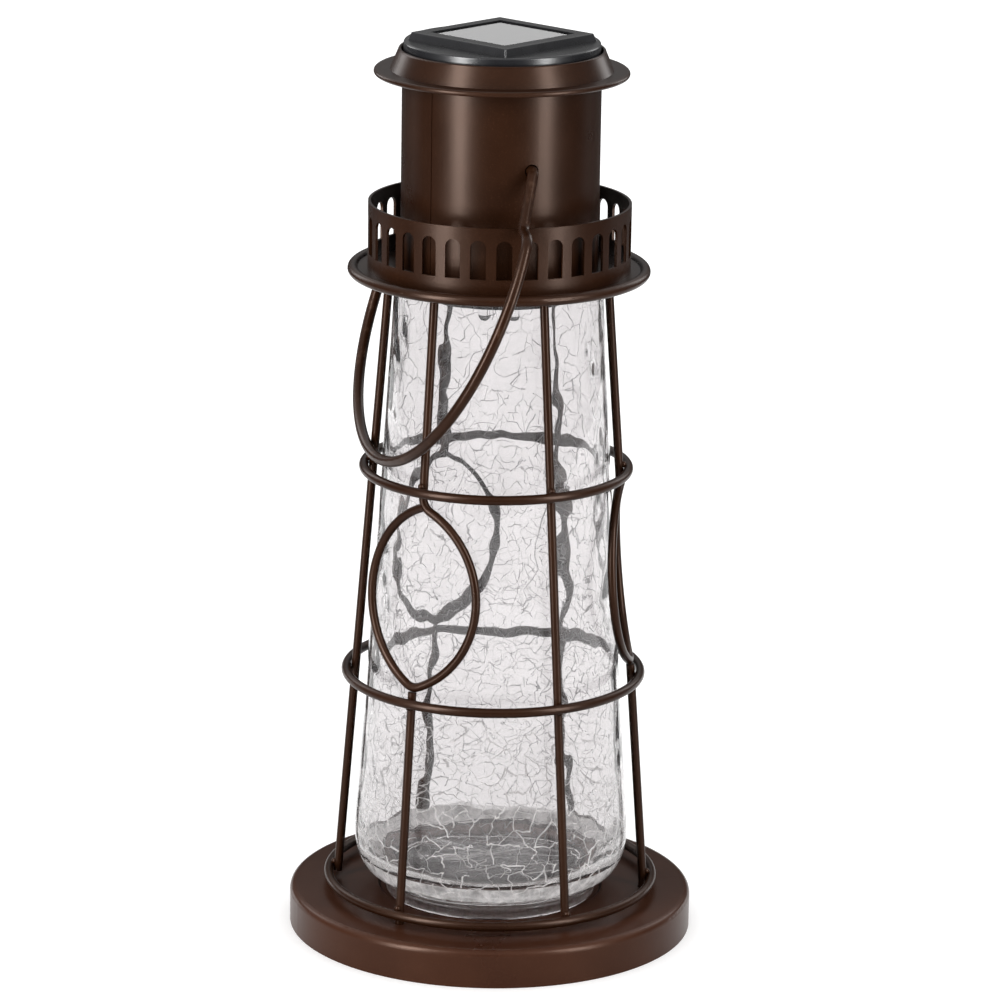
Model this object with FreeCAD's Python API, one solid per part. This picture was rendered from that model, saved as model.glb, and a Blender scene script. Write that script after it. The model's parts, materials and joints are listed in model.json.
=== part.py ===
import FreeCAD, Part
import math
import os

from FreeCAD import Vector

# Solar lantern for the garden: a round sheet-metal base, a tapering wire cage around a glass jar, a
# gallery with a pierced railing, a lamp housing with a swinging wire handle, and a solar unit that
# lifts out of the top. Units are millimetres and degrees.
#
# The origin is the centre of the base on the ground, +Z is up, and the handle turns about an axis
# parallel to Y. Azimuths are measured about +Z, from -Y towards +X.

os.makedirs("parts", exist_ok=True)

Z_AXIS = Vector(0, 0, 1)
ORIGIN = Vector(0, 0, 0)

# Base pan
BASE_RADIUS = 75.0
BASE_HEIGHT = 14.2
BASE_SHEET = 1.0
BASE_EDGE_RADIUS = 2.5
BASE_HEM = 2.5
SEAT_RADIUS = 41.0
SEAT_DEPTH = 0.9
SEAT_SLOPE = 1.0

# Wire cage: six uprights that lean in, and three rings welded outside them. The uprights were set by
# hand, so they are not spaced quite evenly, and the foot of one is shifted sideways, its top the other way
WINDOW_AZIMUTHS = (-53.0, 69.0, 189.0)
PLAIN_AZIMUTHS = (-111.0, 9.0, 129.0)
PLAIN_SHIFTS = (0.0, 2.1, 0.0)
UPRIGHT_DIAMETER = 3.2
CAGE_RADIUS_AT_GROUND = 58.6
CAGE_TAPER = 0.076
RING_DIAMETER = 3.5
RING_HEIGHTS = {"base_ring": 18.4, "lower_ring": 98.0, "upper_ring": 176.0}
WELD_OFFSETS = {"base_ring": 1.9, "lower_ring": -1.9, "upper_ring": 1.9}
WELD_GAP = 0.03
WELD_BEAD_RADIUS = 1.25
WELD_REACH = 6.0
WELD_START = -51.0
PLAIN_UPRIGHT_FOOT = 16.8

# Leaf-shaped window bent into every second upright
WINDOW_TOP = 169.9
WINDOW_BOTTOM = 102.7
WINDOW_HALF_WIDTH = 23.2
WINDOW_INWARD_SAG = 3.8
WINDOW_NECK_RADIUS = 6.0
WINDOW_BEND_RADIUS = 7.0
WINDOW_BUTT_OVERLAP = 1.2
LOWER_UPRIGHT_RISE = 0.3

# Threaded feet of the cage, and the nuts under the pan
FOOT_TOP = 17.0
FOOT_BOTTOM = 8.2
FOOT_HOLE_RADIUS = 1.9
WASHER_RADIUS = 3.5
WASHER_THICKNESS = 0.6
NUT_ACROSS_FLATS = 5.5
NUT_HEIGHT = 2.4
NUT_BORE_RADIUS = 1.65

# Glass jar
GLASS_FOOT_RADIUS = 39.3
GLASS_FOOT_INNER_RADIUS = 35.8
GLASS_FOOT_HEIGHT = 4.5
GLASS_RECESS = 3.8
GLASS_RECESS_DRAFT = 1.0
GLASS_TOP = 248.6
GLASS_TOP_RADIUS = 37.7
GLASS_WALL = 2.6
GLASS_FLOOR = 24.5
# Outlines of the jar above its foot, outside and inside, as radius and height
GLASS_OUTSIDE = [(41.2, 18.9), (44.6, 20.6), (47.6, 23.6), (49.9, 28.2), (50.9, 34.0), (50.8, 41.0),
                 (49.8, 54.0), (47.6, 86.0), (45.2, 125.0), (GLASS_TOP_RADIUS, GLASS_TOP)]
GLASS_INSIDE = [(34.0, GLASS_FLOOR), (41.5, 26.2), (46.2, 31.0), (47.9, 37.5), (48.0, 43.0), (47.1, 55.0),
                (45.0, 86.0), (42.6, 125.0), (GLASS_TOP_RADIUS - GLASS_WALL, GLASS_TOP)]

# Gallery plate and railing
GALLERY_RADIUS = 55.1
GALLERY_TOP = 250.6
GALLERY_SHEET = 1.0
GALLERY_BEAD_RADIUS = 1.9
GALLERY_HOLE_RADIUS = 30.5
RAILING_RADIUS = 47.8
RAILING_SHEET = 1.0
RAILING_HEIGHT = 24.6
SLOT_COUNT = 32
SLOT_WIDTH = 5.7
SLOT_SILL = 5.9
SLOT_CROWN = 20.1
FIRST_SLOT_AZIMUTH = -4.5

# Lamp housing and the roof ring on it
HOUSING_RADIUS = 36.0
HOUSING_SHEET = 1.0
HOUSING_TOP = 326.0
LAP_AZIMUTH = -68.0
LAP_ANGLE = 7.0
LAP_THICKNESS = 0.3
PIVOT_HEIGHT = 293.3
PIVOT_HOLE_RADIUS = 2.5
ROOF_FLANGE_RADIUS = 46.2
ROOF_FLANGE_BOTTOM = 321.7
ROOF_RIM_RADIUS = 1.0
ROOF_TOP = 331.2
ROOF_COLLAR_RADIUS = 36.2
ROOF_SHEET = 0.75
ROOF_CONE_FOOT_RADIUS = 40.3
ROOF_HEM_RADIUS = 0.6

# Handle: a round wire bow. U runs along the pivot axis from the middle and V away from the axis
HANDLE_DIAMETER = 4.0
HANDLE_REST_TILT = 22.8
HANDLE_END = 33.4
HANDLE_ELBOW = 37.9
HANDLE_NECK = (50.5, 19.9)
HANDLE_BOW_RADIUS = 66.5
HANDLE_BOW_CENTRE = 53.3
HANDLE_SHOULDER = (58.55, 21.5)
HANDLE_ELBOW_CUT = 1.8
HANDLE_NECK_CUT = 2.6

# Solar unit: cap, can and base, held together by screws, with the electronics inside
UNIT_TURN = -16.0
CAP_RADIUS = 35.5
CAP_SEAT = 326.1
CAP_TOP = 333.9
CAP_WALL = 1.8
CAP_EDGE = 0.8
SKIRT_RADIUS = 34.6
SKIRT_BOTTOM = 316.8
BEZEL_TOP = 336.8
BEZEL_BASE_SIDE = 48.6
BEZEL_TOP_SIDE = 46.4
BEZEL_EDGE = 0.5
RECESS_SIDE = 36.8
RECESS_FLOOR = 334.6
PANEL_CLEARANCE = 0.2
CELL_BOARD_THICKNESS = 0.8
CELL_SIDE = 31.5
CELL_THICKNESS = 0.4
WINDOW_PANE_TOP = 336.3
CAN_RADIUS = 28.0
CAN_WALL = 1.6
CAN_BOTTOM = 243.0
CAN_BOSS_HEIGHT = 10.0
FLANGE_THICKNESS = 2.0
GASKET_THICKNESS = 0.8
GASKET_INNER_RADIUS = 28.0
GASKET_OUTER_RADIUS = 34.5
UNIT_BASE_BOTTOM = 241.0
UNIT_BASE_CHAMFER = 0.8
SPIGOT_TOP = 250.0
SPIGOT_WALL = 1.6
FIT_GAP = 0.2

# Screws of the solar unit
CAP_SCREW_CIRCLE = 30.9
BASE_SCREW_CIRCLE = 23.4
SCREW_HEAD_RADIUS = 2.3
SCREW_HEAD_HEIGHT = 1.5
SCREW_HEAD_EDGE = 0.5
SCREW_SHANK_RADIUS = 1.25
SCREW_CROSS = (1.4, 0.3, 0.7)
SCREW_HOLE_RADIUS = 1.5
CAP_SCREW_LENGTH = 8.0
BASE_SCREW_LENGTH = 14.0
PILOT_RADIUS = 1.27
PILOT_DEPTH = 8.0
CAP_BOSS_RADIUS = 2.6
BASE_BOSS_RADIUS = 3.2

# LEDs, boards and wires
LED_BOSS_RADIUS = 9.5
LED_BOSS_BOTTOM = 236.5
LED_SPACING = 10.0
LED_RADIUS = 2.5
LED_TIP = 230.5
LED_FLANGE_RADIUS = 2.9
LED_FLANGE_BOTTOM = 238.6
LED_FLANGE_HEIGHT = 1.0
LED_LEAD_RADIUS = 0.25
LED_LEAD_PITCH = 2.54
LED_BOARD_BOTTOM = 247.0
LED_BOARD_WIDTH = 18.0
LED_WIRE_RADIUS = 0.55
LED_WIRE_SPACING = 8.0
BOARD_THICKNESS = 1.2
CIRCUIT_BOARD_SIZE = (24.0, 36.0)
CIRCUIT_BOARD_OFFSET = -13.0
CIRCUIT_BOARD_BOTTOM = 264.0
LED_BOARD_FRONT = 4.0
LED_BOARD_LAP = 3.0
# Parts on the main board. A flat one has sides, thickness and levels, a can has side, level, radius, height
CHIP = ((-3.0, 3.0), 1.6, (14.0, 22.0))
DIODE = ((5.0, 9.5), 1.2, (24.0, 27.0))
CANS = ((-6.5, 7.0, 3.5, 4.0), (6.5, 8.0, 2.5, 5.5), (-7.0, 28.0, 2.0, 5.0))
CELL_LEAD_RADIUS = 0.6
CELL_LEAD_SPACING = 3.0
CELL_LEAD_GAP = 0.05
CELL_LEAD_HOLE = 2.5

# Battery and switch
BATTERY_RADIUS = 7.25
BATTERY_LENGTH = 50.5
BATTERY_EDGE = 0.6
BATTERY_CAP_RADIUS = 2.75
BATTERY_CAP_HEIGHT = 1.0
BATTERY_OFFSET = 6.0
BATTERY_BOTTOM = 254.5
CRADLE_BOTTOM = 250.1
CRADLE_TOP = 309.0
CRADLE_FOOT = 1.5
CRADLE_WALL = 1.5
CRADLE_GAP = 0.35
CONTACT_SHEET = 0.4
CONTACT_WIDTH = 10.0
CONTACT_FRONT = 5.0
CONTACT_BACK = 4.0
CONTACT_DIMPLE_RADIUS = 2.0
SWITCH_OFFSET = 16.5
SWITCH_TRAVEL = 2.5
SWITCH_CASE = (11.0, 5.8, 5.0)
SWITCH_GAP = 0.4
KNOB_SIZE = (3.6, 2.4)
KNOB_BOTTOM = 239.4
KNOB_TOP = 246.2
KNOB_GROOVE = 0.4

# How far a cutting tool runs out past a surface, and how far joined shapes run into each other
RUN_OUT = 1.0
EMBED = 0.5


def polar(radius, azimuth, height):
    """Point at a radius from the Z axis, at an azimuth from -Y towards +X."""
    angle = math.radians(azimuth)
    return Vector(radius * math.sin(angle), -radius * math.cos(angle), height)


def radial(azimuth):
    """Unit vector that points outwards at an azimuth."""
    return polar(1.0, azimuth, 0.0)


def tangential(azimuth):
    """Unit vector that points towards increasing azimuth."""
    return polar(1.0, azimuth + 90.0, 0.0)


def cage_radius(height):
    """Distance of an upright's centreline from the Z axis."""
    return CAGE_RADIUS_AT_GROUND - CAGE_TAPER * height


def flat(across, along):
    """Point or direction in a flat drawing, before it is placed in the model."""
    return Vector(across, along, 0)


def unit(vector):
    return vector / vector.Length


def outline(steps, place):
    """Closed face. A step of 2 numbers is a straight line to a point, one of 4 an arc by way of a point."""
    edges = []
    start = here = place(*steps[0])
    for step in steps[1:]:
        end = place(*step[-2:])
        if len(step) == 4:
            edges.append(Part.Arc(here, place(*step[:2]), end).toShape())
        else:
            edges.append(Part.LineSegment(here, end).toShape())
        here = end
    edges.append(Part.LineSegment(here, start).toShape())
    return Part.Face(Part.Wire(edges))


def turned(steps, first_azimuth=-90.0, angle=360.0):
    """Solid turned about Z from an outline in radius and height."""
    face = outline(steps, lambda radius, height: polar(radius, first_azimuth, height))
    return face.revolve(ORIGIN, Z_AXIS, angle)


def tube_ring(inner_radius, outer_radius, bottom, top):
    """Plain ring with a rectangular section."""
    return turned([(inner_radius, bottom), (outer_radius, bottom), (outer_radius, top), (inner_radius, top)])


def rod(start, end, radius):
    """Straight round rod."""
    return Part.makeCylinder(radius, (end - start).Length, start, end - start)


def pillar(x, y, bottom, top, radius):
    """Upright round rod."""
    return Part.makeCylinder(radius, top - bottom, Vector(x, y, bottom), Z_AXIS)


def block(x_range, y_range, z_range):
    """Rectangular block between limits."""
    size = [high - low for low, high in (x_range, y_range, z_range)]
    return Part.makeBox(*size, Vector(x_range[0], y_range[0], z_range[0]))


def square_block(side, bottom, top):
    """Square block centred on the Z axis, with a corner towards -Y."""
    half = side / 2
    return block((-half, half), (-half, half), (bottom, top)).rotate(ORIGIN, Z_AXIS, 45)


def wire_along(edges, radius):
    """Round wire along a smooth chain of edges."""
    spine = Part.Wire(edges)
    start = spine.OrderedVertexes[0].Point
    first = spine.OrderedEdges[0]
    tangent = first.tangentAt(first.FirstParameter)
    section = Part.Wire(Part.makeCircle(radius, start, tangent))
    return spine.makePipeShell([section], True, False)


def joined(shapes):
    """One shape fused from several, with the seams between them removed."""
    return shapes[0].fuse(shapes[1:]).removeSplitter()


def in_unit(shape):
    """Turn a piece of the solar unit to the angle at which the unit stands in the lantern."""
    return shape.copy().rotate(ORIGIN, Z_AXIS, UNIT_TURN)


def save(name, shape):
    """Write one node."""
    shape.exportStep("parts/" + name + ".step")
    print(name, len(shape.Solids), "solids, volume", round(shape.Volume, 1), "valid", shape.isValid())


# ------------------------------------------------------------------------------------- base

def base_pan():
    """Pressed sheet pan, open underneath, with a shallow seat for the glass and a turned-in hem."""
    r_edge = BASE_EDGE_RADIUS
    r_inner_edge = r_edge - BASE_SHEET
    bend = 1 - math.sqrt(0.5)
    outer, top = BASE_RADIUS, BASE_HEIGHT
    inner, under = BASE_RADIUS - BASE_SHEET, BASE_HEIGHT - BASE_SHEET
    seat, seat_under = top - SEAT_DEPTH, under - SEAT_DEPTH
    pan = turned([
        (0, seat_under), (SEAT_RADIUS + BASE_SHEET, seat_under),
        (SEAT_RADIUS + BASE_SHEET + SEAT_SLOPE, under),
        (inner - r_inner_edge, under),
        (inner - bend * r_inner_edge, under - bend * r_inner_edge, inner, under - r_inner_edge),
        (inner, BASE_SHEET), (outer - BASE_HEM, BASE_SHEET), (outer - BASE_HEM, 0), (outer, 0),
        (outer, top - r_edge), (outer - bend * r_edge, top - bend * r_edge, outer - r_edge, top),
        (SEAT_RADIUS + SEAT_SLOPE, top), (SEAT_RADIUS, seat), (0, seat),
    ])
    holes = [pillar(point.x, point.y, 0, top + 1, FOOT_HOLE_RADIUS) for point in foot_points()]
    return pan.cut(holes)


def foot_points():
    """Where the three threaded feet pass through the pan: under the uprights with windows."""
    return [polar(cage_radius(FOOT_TOP), azimuth, 0) for azimuth in WINDOW_AZIMUTHS]


def foot_washers():
    top = BASE_HEIGHT - BASE_SHEET
    washer = tube_ring(FOOT_HOLE_RADIUS, WASHER_RADIUS, top - WASHER_THICKNESS, top)
    return Part.makeCompound([washer.translated(point) for point in foot_points()])


def foot_nuts():
    top = BASE_HEIGHT - BASE_SHEET - WASHER_THICKNESS
    corner = NUT_ACROSS_FLATS / math.sqrt(3)
    corners = [polar(corner, 60.0 * k, top - NUT_HEIGHT) for k in range(7)]
    nut = Part.Face(Part.makePolygon(corners)).extrude(Vector(0, 0, NUT_HEIGHT))
    nut = nut.cut(pillar(0, 0, top - NUT_HEIGHT - 1, top + 1, NUT_BORE_RADIUS))
    return Part.makeCompound([nut.translated(point) for point in foot_points()])


# ------------------------------------------------------------------------------------- cage

def cage_ring(height, wire_radius=RING_DIAMETER / 2):
    """Ring of round wire that touches the outside of the uprights."""
    contact = (UPRIGHT_DIAMETER + RING_DIAMETER) / 2 + WELD_GAP
    return Part.makeTorus(cage_radius(height) + contact, wire_radius, Vector(0, 0, height))


def upright_point(azimuth, height):
    return polar(cage_radius(height), azimuth, height)


def upright_top():
    return GALLERY_TOP - GALLERY_SHEET - FIT_GAP


def plain_azimuth(number, height):
    """Azimuth of a plain upright at a height."""
    middle = (upright_top() + PLAIN_UPRIGHT_FOOT) / 2
    shift = PLAIN_SHIFTS[number] * (middle - height) / (middle - PLAIN_UPRIGHT_FOOT)
    return PLAIN_AZIMUTHS[number] + math.degrees(shift / cage_radius(height))


def plain_upright(number):
    levels = (PLAIN_UPRIGHT_FOOT, upright_top())
    ends = [upright_point(plain_azimuth(number, level), level) for level in levels]
    return rod(*ends, UPRIGHT_DIAMETER / 2)


def window_upright(azimuth):
    """One wire: down from the gallery, round both sides of a leaf, and butted against itself at the top.

    Each side of the leaf is an arc in its own plane through the upright's line, and both planes lean
    in, so the leaf follows the round cage. Flat coordinates are S, across from the upright's line, and
    T, up along it from the middle of the leaf.
    """
    radius = UPRIGHT_DIAMETER / 2
    top, bottom = upright_point(azimuth, WINDOW_TOP), upright_point(azimuth, WINDOW_BOTTOM)
    middle = (top + bottom) / 2
    along = unit(top - bottom)
    half_height = (top - bottom).Length / 2
    half_width = math.hypot(WINDOW_HALF_WIDTH, WINDOW_INWARD_SAG)
    arc_radius = (half_height ** 2 + half_width ** 2) / (2 * half_width)
    arc_centre = flat(half_width - arc_radius, 0)

    def side_place(side):
        reach = tangential(azimuth) * side * WINDOW_HALF_WIDTH - radial(azimuth) * WINDOW_INWARD_SAG
        across = unit(reach - along * reach.dot(along))
        return lambda point: middle + across * point.x + along * point.y

    first_place, second_place = side_place(1), side_place(-1)

    def leaf_arc(place, first, last):
        angles = [first, (first + last) / 2, last]
        points = [arc_centre + flat(math.cos(angle), math.sin(angle)) * arc_radius for angle in angles]
        return Part.Arc(*[place(point) for point in points]).toShape()

    # The straight wire leads into the first side through a neck that bends the other way
    neck = WINDOW_NECK_RADIUS
    neck_centre = flat(neck, math.sqrt((neck + arc_radius) ** 2 - (neck - arc_centre.x) ** 2))
    to_line, to_leaf = flat(-1, 0), unit(arc_centre - neck_centre)
    neck_points = [neck_centre + way * neck for way in (to_line, unit(to_line + to_leaf), to_leaf)]
    join_angle = math.atan2(-to_leaf.y, -to_leaf.x)
    straight = Part.LineSegment(upright_point(azimuth, upright_top()), first_place(neck_points[0])).toShape()
    neck_bend = Part.Arc(*[first_place(point) for point in neck_points]).toShape()

    # At the bottom the wire bends from the first side into the second, about a point on the upright's line
    bend_angle = -math.acos(-arc_centre.x / (arc_radius - WINDOW_BEND_RADIUS))
    bend_start = arc_centre + flat(math.cos(bend_angle), math.sin(bend_angle)) * arc_radius
    bend_corner = flat(0, bend_start.y + bend_start.x / math.tan(bend_angle))
    bend = Part.Arc(*rounded_corner(first_place(bend_start), first_place(bend_corner),
                                    second_place(bend_start), (bend_start - bend_corner).Length))
    bend_middle = (bend.FirstParameter + bend.LastParameter) / 2
    bend_halves = [bend.toShape(bend.FirstParameter, bend_middle),
                   bend.toShape(bend_middle, bend.LastParameter)]

    # The second side ends inside the neck, where it is welded on
    butt_angle = math.acos((-WINDOW_BUTT_OVERLAP - arc_centre.x) / arc_radius)
    first_side = [straight, neck_bend, leaf_arc(first_place, join_angle, bend_angle), bend_halves[0]]
    second_side = [bend_halves[1], leaf_arc(second_place, bend_angle, butt_angle)]
    return joined([wire_along(first_side, radius), wire_along(second_side, radius)])


def lower_upright(azimuth):
    """Wire from the bottom of a window to the base, ending in an upright threaded foot."""
    radius = UPRIGHT_DIAMETER / 2
    knee = upright_point(azimuth, FOOT_TOP)
    wire_top = upright_point(azimuth, WINDOW_BOTTOM - radius + LOWER_UPRIGHT_RISE)
    foot = Vector(knee.x, knee.y, FOOT_BOTTOM)
    return joined([rod(knee, wire_top, radius), Part.makeSphere(radius, knee), rod(foot, knee, radius)])


def weld_beads():
    """Small beads of weld where each ring crosses each upright, in the corner above or below the ring."""
    beads = []
    for ring, height in RING_HEIGHTS.items():
        level = height + WELD_OFFSETS[ring]
        ring_wire = cage_ring(height, RING_DIAMETER / 2 + WELD_GAP)
        ends = [upright_point(WELD_START, level + reach) for reach in (-WELD_REACH, WELD_REACH)]
        upright = rod(*ends, UPRIGHT_DIAMETER / 2 + WELD_GAP)
        place = polar(cage_radius(level) + UPRIGHT_DIAMETER / 2, WELD_START, level)
        cut_bead = Part.makeSphere(WELD_BEAD_RADIUS, place).cut(upright).cut(ring_wire)
        bead = max(cut_bead.Solids, key=lambda solid: solid.Volume)
        azimuths = list(WINDOW_AZIMUTHS)
        azimuths += [plain_azimuth(number, level) for number in range(len(PLAIN_AZIMUTHS))]
        beads += [bead.copy().rotate(ORIGIN, Z_AXIS, azimuth - WELD_START) for azimuth in azimuths]
    return Part.makeCompound(beads)


# ------------------------------------------------------------------------------------- glass

def glass_jar():
    """Glass jar that tapers upwards, with a full shoulder, a thick floor and a foot ring."""
    bottom = BASE_HEIGHT - SEAT_DEPTH
    foot_top = bottom + GLASS_FOOT_HEIGHT

    def place(radius, height):
        return polar(radius, -90.0, height)

    def line(*points):
        return [Part.LineSegment(place(*a), place(*b)).toShape() for a, b in zip(points, points[1:])]

    def curve(points):
        spline = Part.BSplineCurve()
        spline.interpolate([place(*point) for point in points])
        return [spline.toShape()]

    recess = bottom + GLASS_RECESS
    edges = line((0, recess), (GLASS_FOOT_INNER_RADIUS - GLASS_RECESS_DRAFT, recess),
                 (GLASS_FOOT_INNER_RADIUS, bottom), (GLASS_FOOT_RADIUS, bottom),
                 (GLASS_FOOT_RADIUS, foot_top), GLASS_OUTSIDE[0])
    edges += curve(GLASS_OUTSIDE)
    edges += line(GLASS_OUTSIDE[-1], GLASS_INSIDE[-1])
    edges += curve(GLASS_INSIDE[::-1])
    edges += line(GLASS_INSIDE[0], (0, GLASS_FLOOR), (0, recess))
    return Part.Face(Part.Wire(edges)).revolve(ORIGIN, Z_AXIS, 360)


# ------------------------------------------------------------------------------------- gallery

def gallery_plate():
    """Round plate with a rolled bead around its edge and a hole for the solar unit."""
    bead = GALLERY_BEAD_RADIUS
    bead_circle = GALLERY_RADIUS - bead
    plate = tube_ring(GALLERY_HOLE_RADIUS, bead_circle - bead / 2, GALLERY_TOP - GALLERY_SHEET, GALLERY_TOP)
    middle = Vector(0, 0, GALLERY_TOP - GALLERY_SHEET / 2)
    return joined([plate, Part.makeTorus(bead_circle, bead, middle)])


def gallery_railing():
    """Upright sheet ring, pierced all round by slots with round tops."""
    inner = RAILING_RADIUS - RAILING_SHEET
    railing = tube_ring(inner, RAILING_RADIUS, GALLERY_TOP, GALLERY_TOP + RAILING_HEIGHT)
    sill = GALLERY_TOP + SLOT_SILL
    spring_line = GALLERY_TOP + SLOT_CROWN - SLOT_WIDTH / 2
    half = SLOT_WIDTH / 2
    cut_depth = (inner - 2, RAILING_RADIUS + 2)
    crown = rod(Vector(cut_depth[0], 0, spring_line), Vector(cut_depth[1], 0, spring_line), half)
    slot = joined([block(cut_depth, (-half, half), (sill, spring_line)), crown])
    slots = []
    for k in range(SLOT_COUNT):
        azimuth = FIRST_SLOT_AZIMUTH + 360.0 * k / SLOT_COUNT
        slots.append(slot.copy().rotate(ORIGIN, Z_AXIS, azimuth - 90.0))
    return railing.cut(slots)


# ------------------------------------------------------------------------------------- top

def pivot_axis_rod(radius):
    reach = HOUSING_RADIUS + HOUSING_SHEET + RUN_OUT
    return rod(Vector(0, -reach, PIVOT_HEIGHT), Vector(0, reach, PIVOT_HEIGHT), radius)


def lamp_housing():
    """Rolled sheet cylinder with a lapped seam and a hole each side for the handle."""
    inner = HOUSING_RADIUS - HOUSING_SHEET
    shell = tube_ring(inner, HOUSING_RADIUS, GALLERY_TOP, HOUSING_TOP)
    lap_inner, lap_outer = HOUSING_RADIUS - HOUSING_SHEET / 2, HOUSING_RADIUS + LAP_THICKNESS
    lap_top = ROOF_FLANGE_BOTTOM - FIT_GAP
    lap = turned([(lap_inner, GALLERY_TOP), (lap_outer, GALLERY_TOP), (lap_outer, lap_top),
                  (lap_inner, lap_top)], LAP_AZIMUTH, LAP_ANGLE)
    return joined([shell, lap]).cut(pivot_axis_rod(PIVOT_HOLE_RADIUS))


def roof_ring():
    """Flat brim with a rolled rim, rising as a short cone to a hem that folds down into a collar."""
    low, top, sheet = ROOF_FLANGE_BOTTOM, ROOF_TOP, ROOF_SHEET
    collar, hem, cone_foot = ROOF_COLLAR_RADIUS, ROOF_HEM_RADIUS, ROOF_CONE_FOOT_RADIUS
    brim_top = low + 2 * ROOF_RIM_RADIUS
    rim_circle = ROOF_FLANGE_RADIUS - ROOF_RIM_RADIUS
    ring = turned([
        (collar, low), (collar, top - hem), (collar + hem, top, collar + 2 * hem, top - hem),
        (cone_foot, brim_top), (rim_circle, brim_top), (rim_circle, brim_top - sheet),
        (cone_foot - sheet, brim_top - sheet), (collar + sheet, top - 3 * sheet), (collar + sheet, low),
    ])
    rim = Part.makeTorus(rim_circle, ROOF_RIM_RADIUS, Vector(0, 0, low + ROOF_RIM_RADIUS))
    return joined([ring, rim])


def rounded_corner(before, corner, after, cut):
    """Start, middle and end of the arc that rounds a corner and starts a given distance from it."""
    arrive, leave = unit(before - corner), unit(after - corner)
    half_angle = arrive.getAngle(leave) / 2
    radius = cut * math.tan(half_angle)
    middle = corner + unit(arrive + leave) * (radius / math.sin(half_angle) - radius)
    return [corner + arrive * cut, middle, corner + leave * cut]


def handle():
    """Wire bow that hangs at rest against the cage on the -X side, with an end in each housing hole.

    Flat coordinates are U, along the pivot axis from the middle, and V, away from the axis.
    """
    tilt = math.radians(HANDLE_REST_TILT)
    end, elbow = flat(HANDLE_END, 0), flat(HANDLE_ELBOW, 0)
    neck, shoulder = flat(*HANDLE_NECK), flat(*HANDLE_SHOULDER)
    bow_centre = flat(0, HANDLE_BOW_CENTRE)

    # The bow starts where the line from the shoulder's corner touches its circle
    to_shoulder = shoulder - bow_centre
    tangent_length = math.sqrt(to_shoulder.Length ** 2 - HANDLE_BOW_RADIUS ** 2)
    start_angle = math.atan2(to_shoulder.y, to_shoulder.x)
    start_angle += math.acos(HANDLE_BOW_RADIUS / to_shoulder.Length)
    bow_start = bow_centre + flat(math.cos(start_angle), math.sin(start_angle)) * HANDLE_BOW_RADIUS
    elbow_arc = rounded_corner(end, elbow, neck, HANDLE_ELBOW_CUT)
    neck_arc = rounded_corner(elbow, neck, shoulder, HANDLE_NECK_CUT)
    shoulder_arc = rounded_corner(neck, shoulder, bow_start, tangent_length)

    def place(point, side):
        u, v = point.x * side, point.y
        return Vector(-v * math.sin(tilt), -u, PIVOT_HEIGHT - v * math.cos(tilt))

    def arm(side):
        edges = []
        here = end
        for arc in (elbow_arc, neck_arc, shoulder_arc):
            edges.append(Part.LineSegment(place(here, side), place(arc[0], side)).toShape())
            edges.append(Part.Arc(*[place(point, side) for point in arc]).toShape())
            here = arc[2]
        return edges

    lowest = bow_centre + flat(0, HANDLE_BOW_RADIUS)
    bow = Part.Arc(place(bow_start, 1), place(lowest, 1), place(bow_start, -1)).toShape()
    return wire_along(arm(1) + [bow] + arm(-1)[::-1], HANDLE_DIAMETER / 2)


# ------------------------------------------------------------------------------------- solar unit

def solar_cap():
    """Round cap with a raised square bezel, a recess for the cell, a skirt and three screw bosses."""
    bend = CAP_EDGE * (1 - math.sqrt(0.5))
    top, seat, under = CAP_TOP, CAP_SEAT, CAP_TOP - CAP_WALL
    skirt_inner = SKIRT_RADIUS - CAP_WALL
    shell = turned([
        (0, under), (skirt_inner, under), (skirt_inner, SKIRT_BOTTOM), (SKIRT_RADIUS, SKIRT_BOTTOM),
        (SKIRT_RADIUS, seat), (CAP_RADIUS, seat), (CAP_RADIUS, top - CAP_EDGE),
        (CAP_RADIUS - bend, top - bend, CAP_RADIUS - CAP_EDGE, top), (0, top),
    ])
    places = screw_points(CAP_SCREW_CIRCLE)
    bosses = [pillar(p.x, p.y, SKIRT_BOTTOM, under + EMBED, CAP_BOSS_RADIUS) for p in places]
    body = joined([shell, square_bezel()] + bosses)
    recess = square_block(RECESS_SIDE, RECESS_FLOOR, BEZEL_TOP + RUN_OUT)
    lead_hole = pillar(0, CIRCUIT_BOARD_OFFSET, under - RUN_OUT, RECESS_FLOOR + RUN_OUT, CELL_LEAD_HOLE)
    pilots = [pillar(p.x, p.y, SKIRT_BOTTOM - RUN_OUT, SKIRT_BOTTOM + PILOT_DEPTH, PILOT_RADIUS)
              for p in places]
    return body.cut([recess, lead_hole] + pilots)


def square_bezel():
    """Square plate with sloping sides and softened edges."""
    def loop(side, height):
        corner = side / math.sqrt(2)
        return Part.makePolygon([polar(corner, 90.0 * k, height) for k in range(5)])

    loops = [loop(BEZEL_BASE_SIDE, CAP_TOP - EMBED), loop(BEZEL_TOP_SIDE, BEZEL_TOP)]
    loft = Part.makeLoft(loops, True, True)
    return loft.makeFillet(BEZEL_EDGE, [edge for edge in loft.Edges if edge.BoundBox.ZMax > CAP_TOP])


def screw_points(circle):
    """Centres of three screws. The base screws stand between the cap screws."""
    first_azimuth = 30.0 if circle == CAP_SCREW_CIRCLE else 90.0
    return [polar(circle, first_azimuth + 120.0 * k, 0) for k in range(3)]


def cell_board():
    """Black board at the bottom of the recess, with two holes for the cell's leads."""
    side = RECESS_SIDE - 2 * PANEL_CLEARANCE
    top = RECESS_FLOOR + CELL_BOARD_THICKNESS
    return square_block(side, RECESS_FLOOR, top).cut(cell_lead_rods(CELL_LEAD_GAP))


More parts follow.
